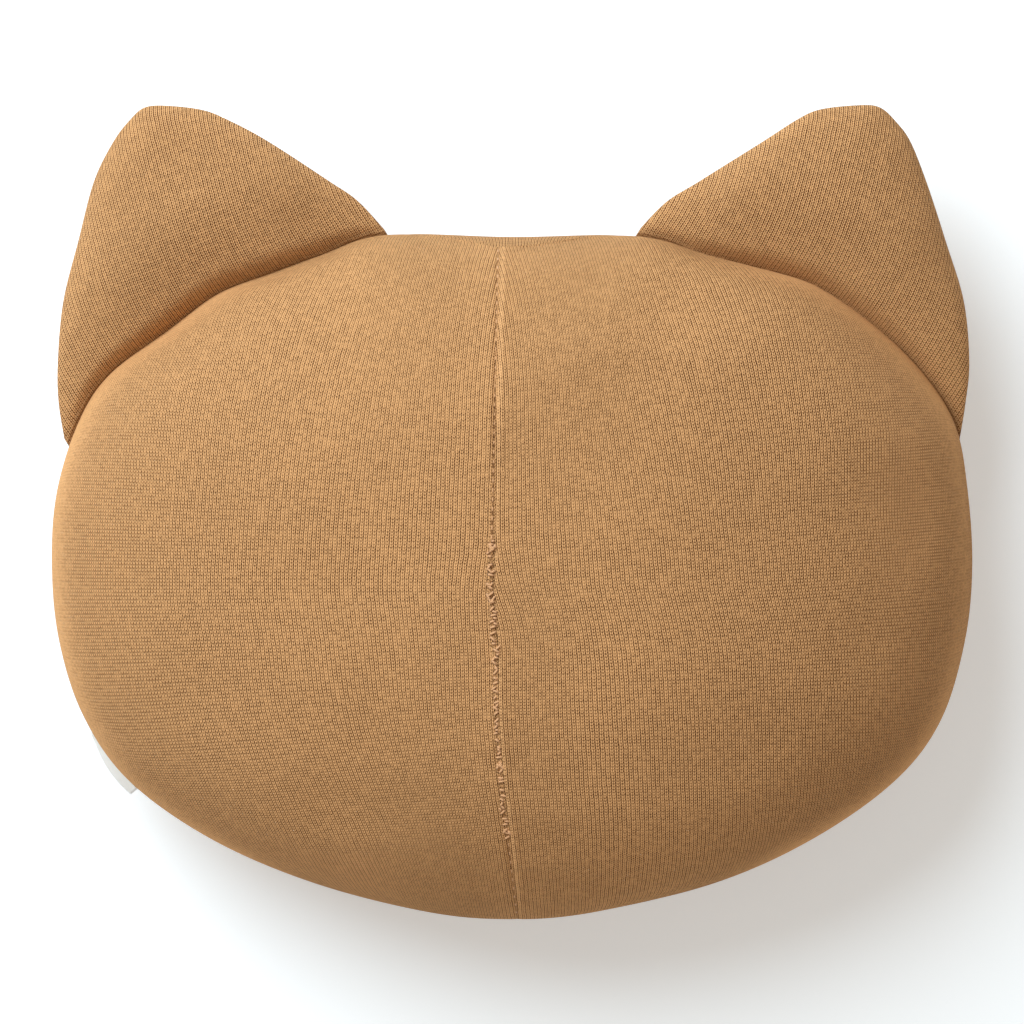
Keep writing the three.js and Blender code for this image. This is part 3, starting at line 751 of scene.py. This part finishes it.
# ---------------------------------------------------------------- seam threads
# Tan sewing thread of two plies. The machine seams down the centre, round the rim and round the ears show
# only short stitches at the bottom of their valleys. The gap left for stuffing is closed by hand: crossing
# stitches of uneven slant and length that stand out of the valley, with knots at its ends.

THREAD = (0.72, 0.41, 0.205, 1.0)
THREAD_RADIUS = 0.36
THREAD_RINGS = 9
THREAD_SIDES = 6
MACHINE_STITCH = (2.4, THREAD_RADIUS, 0.2)   # length, radius and lift
MACHINE_DEPTH = 1.45                         # below the cloth on either side
CLOSING_RADIUS = 0.43
CLOSING_LIFT = 0.55


def thread_material(name, tint, sheen):
    """Twisted thread: slanting lines of painted shade in the grooves between its plies, from the "Thread" UV
    map, whose numbers are millimetres along the stitch and turns round it."""
    material, n, shader = new_material(name, sheen=sheen)
    place = n.add("ShaderNodeTexCoord").outputs["Object"]
    split = n.add("ShaderNodeSeparateXYZ", n.add("ShaderNodeUVMap", uv_map="Thread").outputs["UV"]).outputs
    twist = n.math("MULTIPLY_ADD", split["X"], 1.4, n.product(split["Y"], 2.0))
    ply = n.math("MULTIPLY_ADD", n.math("SINE", n.product(twist, 2 * math.pi)), 0.5, 0.5)
    fluff = n.noise(place, 1800.0, 2.0, 0.6)
    shade = n.product(n.math("MULTIPLY_ADD", ply, 0.35, 0.72), n.math("MULTIPLY_ADD", fluff, 0.3, 0.85))
    shade_colour = n.add("ShaderNodeCombineColor", shade, shade, shade).outputs[0]
    n.join(n.mix(1.0, tint, shade_colour, "MULTIPLY"), shader.inputs["Base Color"])
    n.bump(n.math("MULTIPLY_ADD", fluff, 0.4, ply), 0.7, 0.12, shader)
    n.join(n.spread(fluff, 0.2, 0.8, 0.62, 0.85), shader.inputs["Roughness"])
    return material


def stitches(name, middles, along, up, length, radius, lift, flat=1.0):
    """Short arched threads with round ends, one at each middle. Their middles stand up by the lift, and
    their thickness in that direction is the radius times flat."""
    count = len(middles)
    along = along / np.linalg.norm(along, axis=1, keepdims=True)
    up = up - along * (up * along).sum(axis=1, keepdims=True)
    up = up / np.linalg.norm(up, axis=1, keepdims=True)
    across = np.cross(along, up)
    t = np.linspace(-1, 1, THREAD_RINGS)[None, :, None, None]
    turn = (2 * math.pi * np.arange(THREAD_SIDES) / THREAD_SIDES)[None, None, :, None]
    length = np.broadcast_to(np.asarray(length, float), (count,))[:, None, None, None]
    along, up, across, middles = (a[:, None, None, :] for a in (along, up, across, middles))
    thick = radius * np.sqrt(1 - t**6)
    line = middles + along * length / 2 * t + up * lift * (1 - t**2)
    points = line + thick * (np.cos(turn) * across + flat * np.sin(turn) * up)
    maps = np.concatenate([length * t / 2 + 0 * turn, turn / (2 * math.pi) + 0 * t * length], axis=-1)
    index = np.arange(count * THREAD_RINGS * THREAD_SIDES).reshape(count, THREAD_RINGS, THREAD_SIDES)
    quads = grid_quads(index, wrap=True)
    return make_piece(name, "stitches", points, quads, {"Thread": maps}, closed=True)


def finish_thread(piece, material, body):
    piece.data.materials.append(material)
    if body:
        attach(piece, body)


sewing_thread = thread_material("tan_sewing_thread", THREAD, sheen=0.25)


def steps_between(start, stop, pitch):
    return np.linspace(start, stop, int(round(abs(stop - start) / pitch)) + 1)


def machine_centre_seam(name, start, stop):
    """Stitches one behind the other along the valley of the centre seam."""
    y = steps_between(start, stop, DASH_PITCH)
    ahead = np.stack([seam_x(y + 0.5), y + 0.5, back_height(seam_x(y + 0.5), y + 0.5)], axis=1)
    here = np.stack([seam_x(y), y, back_height(seam_x(y), y)], axis=1)
    up = np.tile([0.0, 0.0, 1.0], (len(y), 1))
    piece = stitches(name, here - up * MACHINE_DEPTH, ahead - here, up, *MACHINE_STITCH)
    finish_thread(piece, sewing_thread, "head")


def closing_seam():
    """Crossing stitches, a second shorter pass beside some of them, and a few loops for the knots."""
    rng = np.random.default_rng(7)
    y = steps_between(CLOSING[1], CLOSING[0], 2.5)
    y = y + rng.uniform(-0.8, 0.8, len(y))
    slant = rng.uniform(-1.2, 1.2, len(y))
    length = rng.uniform(1.7, 3.3, len(y))
    aside = rng.uniform(-0.6, 0.6, len(y))
    again = rng.random(len(y)) < 0.6
    knots = np.repeat([CLOSING[1] - 1, -34.0, -101.0, CLOSING[0] + 3], 4)
    y = np.concatenate([y, y[again] + 1.3, knots + rng.uniform(-1.5, 1.5, len(knots))])
    slant = np.concatenate([slant, -1.6 * slant[again], rng.uniform(-3, 3, len(knots))])
    length = np.concatenate([length, 0.8 * length[again], rng.uniform(2.0, 3.4, len(knots))])
    aside = np.concatenate([aside, aside[again] + rng.uniform(-1.2, 1.2, again.sum()),
                            rng.uniform(-1.2, 1.2, len(knots))])
    x = seam_x(y) + aside
    middles = np.stack([x, y, back_height(x, y) - 1.2], axis=1)
    along = np.stack([np.ones(len(y)), slant, np.zeros(len(y))], axis=1)
    up = np.tile([0.0, 0.0, 1.0], (len(y), 1))
    piece = stitches("closing_stitch_thread", middles, along, up, length, CLOSING_RADIUS, CLOSING_LIFT)
    finish_thread(piece, sewing_thread, "head")


def rim_seam():
    angle = np.linspace(0, 2 * math.pi, 270, endpoint=False)
    places = []
    for ahead in (0.0, 0.004):
        outward = np.stack([np.cos(angle + ahead), np.sin(angle + ahead)], axis=1)
        rim = CENTRE + outward * reach_at(angle + ahead)[:, None]
        z = rim_seam_z(rim[:, 0], rim[:, 1])
        rim = CENTRE + (rim - CENTRE) * share_at_height(z)[:, None] - outward * 1.5
        places.append(np.concatenate([rim, z[:, None]], axis=1))
    up = np.concatenate([outward, np.zeros((len(angle), 1))], axis=1)
    piece = stitches("rim_seam_thread", places[0], places[1] - places[0], up, *MACHINE_STITCH)
    finish_thread(piece, sewing_thread, "head")


def ear_seam(side, side_name):
    edge = smooth_line(EAR_EDGE[side], closed=False)
    steps = np.linalg.norm(np.diff(edge, axis=0), axis=1)
    run = np.concatenate([[0], np.cumsum(steps)])
    at = steps_between(6.0, run[-1] - 6.0, DASH_PITCH)
    here, ahead = (np.stack([np.interp(s, run, edge[:, 0]), np.interp(s, run, edge[:, 1])], axis=1)
                   for s in (at, at + 0.5))
    forward = (ahead - here) / np.linalg.norm(ahead - here, axis=1, keepdims=True)
    outward = np.stack([-forward[:, 1], forward[:, 0]], axis=1)
    here, ahead = here - 1.1 * outward, ahead - 1.1 * outward
    middles, ahead, tips = (ear_place(side, p[:, 0], p[:, 1], EAR_Z) for p in (here, ahead, here + outward))
    piece = stitches(f"{side_name}_ear_seam_thread", middles, ahead - middles, tips - middles,
                     *MACHINE_STITCH)
    finish_thread(piece, sewing_thread, None)
    bend_with_ear(piece)


machine_centre_seam("centre_seam_thread_upper", 106.0, CLOSING[1] + 3)
machine_centre_seam("centre_seam_thread_lower", CLOSING[0] - 3, -163.0)
closing_seam()
rim_seam()
for side, side_name in EAR_SIDES:
    ear_seam(side, side_name)

# ---------------------------------------------------------------- side label
# A white woven ribbon folded double, with both ends caught in the rim seam low on the left side. It hangs
# down the side of the head and lifts away from it a little towards its lower end.

LABEL_WIDTH = 30.0
LABEL_LENGTH = 16.0
RIBBON = 0.45
FOLD_GAP = 0.4
LABEL_ROOT = -1.5         # out from the rim
LABEL_DIRECTION = math.radians(-154.6)   # seen from the middle of the head
LABEL_DROOP = (62.2, 7.0, 9.4)   # degrees below level: at the middle, and its growth to the ends
LABEL_CURL = 0.12                # radians more at the lower end
WARP_PITCH = 0.35
WEFT_PITCH = 0.30
RIBBON_WHITE = (0.92, 0.92, 0.90, 1.0)
RIBBON_SHADE = (0.82, 0.82, 0.80, 1.0)
RIBBON_SOIL = (0.80, 0.77, 0.70, 1.0)
SELVEDGE_WHITE = (0.93, 0.93, 0.92, 1.0)


def side_label():
    heading = np.array([LABEL_DIRECTION - 0.05, LABEL_DIRECTION + 0.05, LABEL_DIRECTION])
    rim = CENTRE + reach_at(heading)[:, None] * np.stack([np.cos(heading), np.sin(heading)], axis=1)
    tangent = (rim[0] - rim[1]) / np.linalg.norm(rim[0] - rim[1])
    outward = np.array([-tangent[1], tangent[0]])
    outward *= np.sign(outward @ (rim[2] - CENTRE))
    across = np.linspace(-1, 1, 25)[:, None]
    droop = np.radians(LABEL_DROOP[0] + LABEL_DROOP[1] * across + LABEL_DROOP[2] * across**2)
    half = FOLD_GAP / 2 + RIBBON / 2
    bend = np.linspace(-math.pi / 2, math.pi / 2, 9)
    straight = np.linspace(0, LABEL_LENGTH - half - RIBBON, 14)
    down = np.concatenate([straight, straight[-1] + half * np.cos(bend[1:-1]), straight[::-1]])[None, :]
    layer = np.concatenate([np.full(14, -half), half * np.sin(bend[1:-1]), np.full(14, half)])[None, :]
    curl = droop + LABEL_CURL * (down / LABEL_LENGTH) ** 2
    away = np.cos(curl) * down + np.sin(curl) * layer + LABEL_ROOT
    drop = -np.sin(curl) * down + np.cos(curl) * layer
    flat = rim[2] + (across * LABEL_WIDTH / 2)[..., None] * tangent + away[..., None] * outward
    points = np.concatenate([flat, (RIM_Z + drop)[..., None]], axis=-1)
    run = np.concatenate([[0], np.cumsum(np.hypot(np.diff(down[0]), np.diff(layer[0])))])[None, :]
    weave = np.stack([across * LABEL_WIDTH / 2 + 0 * run, run + 0 * across], axis=-1)
    quads = grid_quads(np.arange(away.size).reshape(away.shape))
    piece = make_piece("side_label", "ribbon", points, quads, {"Weave": weave})
    thicken = piece.modifiers.new("Solidify", "SOLIDIFY")
    thicken.thickness = RIBBON * MM
    thicken.offset = 0.0
    bpy.context.view_layer.objects.active = piece
    bpy.ops.object.modifier_apply(modifier=thicken.name)
    return piece


ribbon, n, shader = new_material("white_woven_ribbon", sheen=0.15)
shader.inputs["Specular IOR Level"].default_value = 0.4
weave = n.add("ShaderNodeSeparateXYZ", n.add("ShaderNodeUVMap", uv_map="Weave").outputs["UV"]).outputs
place = n.add("ShaderNodeTexCoord").outputs["Object"]
warp = n.math("SINE", n.product(weave["X"], 2 * math.pi / WARP_PITCH))
weft = n.math("SINE", n.product(weave["Y"], 2 * math.pi / WEFT_PITCH))
threads = n.math("MULTIPLY_ADD", n.product(warp, weft), 0.5, 0.5)
selvedge = n.spread(n.math("ABSOLUTE", weave["X"]), LABEL_WIDTH / 2 - 1.4, LABEL_WIDTH / 2 - 0.9)
soil = n.noise(place, 140.0, 3.0)
colour = n.mix(threads, RIBBON_SHADE, RIBBON_WHITE)
colour = n.mix(n.product(n.spread(soil, 0.5, 0.8), 0.25), colour, RIBBON_SOIL)
n.join(n.mix(n.product(selvedge, 0.35), colour, SELVEDGE_WHITE), shader.inputs["Base Color"])
n.bump(n.math("ADD", threads, selvedge), 0.5, 0.10, shader)
n.join(n.spread(soil, 0.3, 0.7, 0.42, 0.6), shader.inputs["Roughness"])

label = side_label()
label.data.materials.append(ribbon)
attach(label, "label")

# ---------------------------------------------------------------- embroidered face
# Two oval eyes, a small nose and a mouth of two arcs on the underside, in satin stitch: rows of threads laid
# side by side from edge to edge, pressed flat under the head.

SATIN_PITCH = 0.62
SATIN_Z = 0.55
MOUTH_ARC_RADIUS = 12.0
MOUTH_LINE = 2.4
MOUTH_TURN = (-math.pi, -0.3)   # each arc, from the middle's side to its outer end
SATIN_THREAD = (0.40, 0.12)     # radius and lift
SATIN_FLAT = 0.5


def satin(name, starts, ends, material):
    middles = np.concatenate([(starts + ends) / 2, np.full((len(starts), 1), SATIN_Z)], axis=1)
    along = np.concatenate([ends - starts, np.zeros((len(starts), 1))], axis=1)
    down = np.tile([0.0, 0.0, -1.0], (len(starts), 1))
    lengths = np.linalg.norm(ends - starts, axis=1)
    piece = stitches(name, middles, along, down, lengths, *SATIN_THREAD, flat=SATIN_FLAT)
    finish_thread(piece, material, "head")


def satin_patch(name, half_width, material):
    """Rows across a closed outline inside the CAD patch's box. half_width gives the outline's half width
    at heights from -1, the bottom, to 1, the top, as a share of the box's."""
    low, high = (np.array(corner[:2]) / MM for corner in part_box(name))
    middle, half = (low + high) / 2, (high - low) / 2
    up = np.linspace(-0.97, 0.97, int(2 * half[1] / SATIN_PITCH))
    width = half[0] * half_width(up)
    y = middle[1] + half[1] * up
    starts, ends = (np.stack([middle[0] + end * width, y], axis=1) for end in (-1, 1))
    satin(name, starts, ends, material)


def eye_width(up):
    return np.sqrt(1 - up**2)


def nose_width(up):
    """A triangle with a blunt point below and rounded corners above."""
    return np.clip(0.12 + 0.95 * ease(up, -1.1, 0.75), 0, 1) * (1 - 0.35 * ease(up, 0.6, 1.0))


def mouth(name, material):
    low = np.array(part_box(name)[0][:2]) / MM
    starts, ends = [], []
    for side in (-1, 1):
        threads = int(MOUTH_ARC_RADIUS * (MOUTH_TURN[1] - MOUTH_TURN[0]) / SATIN_PITCH)
        angle = np.linspace(*MOUTH_TURN, threads)
        angle = angle if side > 0 else -math.pi - angle
        out = np.stack([np.cos(angle), np.sin(angle)], axis=1)
        centre = np.array([side * MOUTH_ARC_RADIUS, low[1] + MOUTH_ARC_RADIUS + MOUTH_LINE / 2])
        starts.append(centre + out * (MOUTH_ARC_RADIUS - MOUTH_LINE / 2))
        ends.append(centre + out * (MOUTH_ARC_RADIUS + MOUTH_LINE / 2))
    satin(name, np.vstack(starts), np.vstack(ends), material)


dark_thread = thread_material("dark_embroidery_thread", (0.035, 0.022, 0.016, 1.0), sheen=0.1)
rose_thread = thread_material("rose_embroidery_thread", (0.42, 0.16, 0.13, 1.0), sheen=0.1)
for eye in ("left_eye", "right_eye"):
    satin_patch(eye, eye_width, dark_thread)
satin_patch("nose", nose_width, rose_thread)
mouth("mouth", dark_thread)

# ---------------------------------------------------------------- floor, light and camera
# A plain pale floor that glows a little, one wide soft light from beyond the ears and to the left, and a
# long lens above.

FLOOR_SIZE = 6.0

bpy.ops.mesh.primitive_plane_add(size=FLOOR_SIZE)
floor = bpy.context.object
floor.name = "floor"
floor_material, n, shader = new_material("pale_floor")
shader.inputs["Base Color"].default_value = (0.81, 0.89, 0.96, 1.0)
shader.inputs["Roughness"].default_value = 0.9
shader.inputs["Specular IOR Level"].default_value = 0.0
shader.inputs["Emission Color"].default_value = (0.92, 0.96, 1.0, 1.0)
shader.inputs["Emission Strength"].default_value = 0.30
floor.data.materials.append(floor_material)

world = bpy.data.worlds.new("studio")
scene.world = world
world.use_nodes = True
world.node_tree.nodes["Background"].inputs["Color"].default_value = (1.0, 0.84, 0.68, 1.0)
world.node_tree.nodes["Background"].inputs["Strength"].default_value = 0.46

LIGHT_HEADING = math.radians(130.0)
LIGHT_RISE = math.radians(48.0)
LIGHT_DISTANCE = 1.6
lamp = bpy.data.lights.new("key_light", "AREA")
lamp.shape = "DISK"
lamp.size = 1.3
lamp.energy = 31.0
lamp.color = (0.90, 0.97, 1.0)
key = bpy.data.objects.new("key_light", lamp)
toward = Vector((math.cos(LIGHT_HEADING) * math.cos(LIGHT_RISE),
                 math.sin(LIGHT_HEADING) * math.cos(LIGHT_RISE), math.sin(LIGHT_RISE)))
key.location = toward * LIGHT_DISTANCE
key.rotation_euler = toward.to_track_quat("Z", "Y").to_euler()
scene.collection.objects.link(key)

LENS = 150.0
SENSOR = 36.0
HEAD_SHARE = 0.8975   # of the picture's width
FRAME_WIDTH = (cad_high[0] - cad_low[0]) / HEAD_SHARE
lens = bpy.data.cameras.new("camera")
lens.lens = LENS
lens.sensor_width = SENSOR
camera = bpy.data.objects.new("camera", lens)
camera.location = (0.0, 0.0, RIM_Z * MM + FRAME_WIDTH * LENS / SENSOR)
scene.collection.objects.link(camera)
scene.camera = camera
scene.view_settings.view_transform = "Standard"
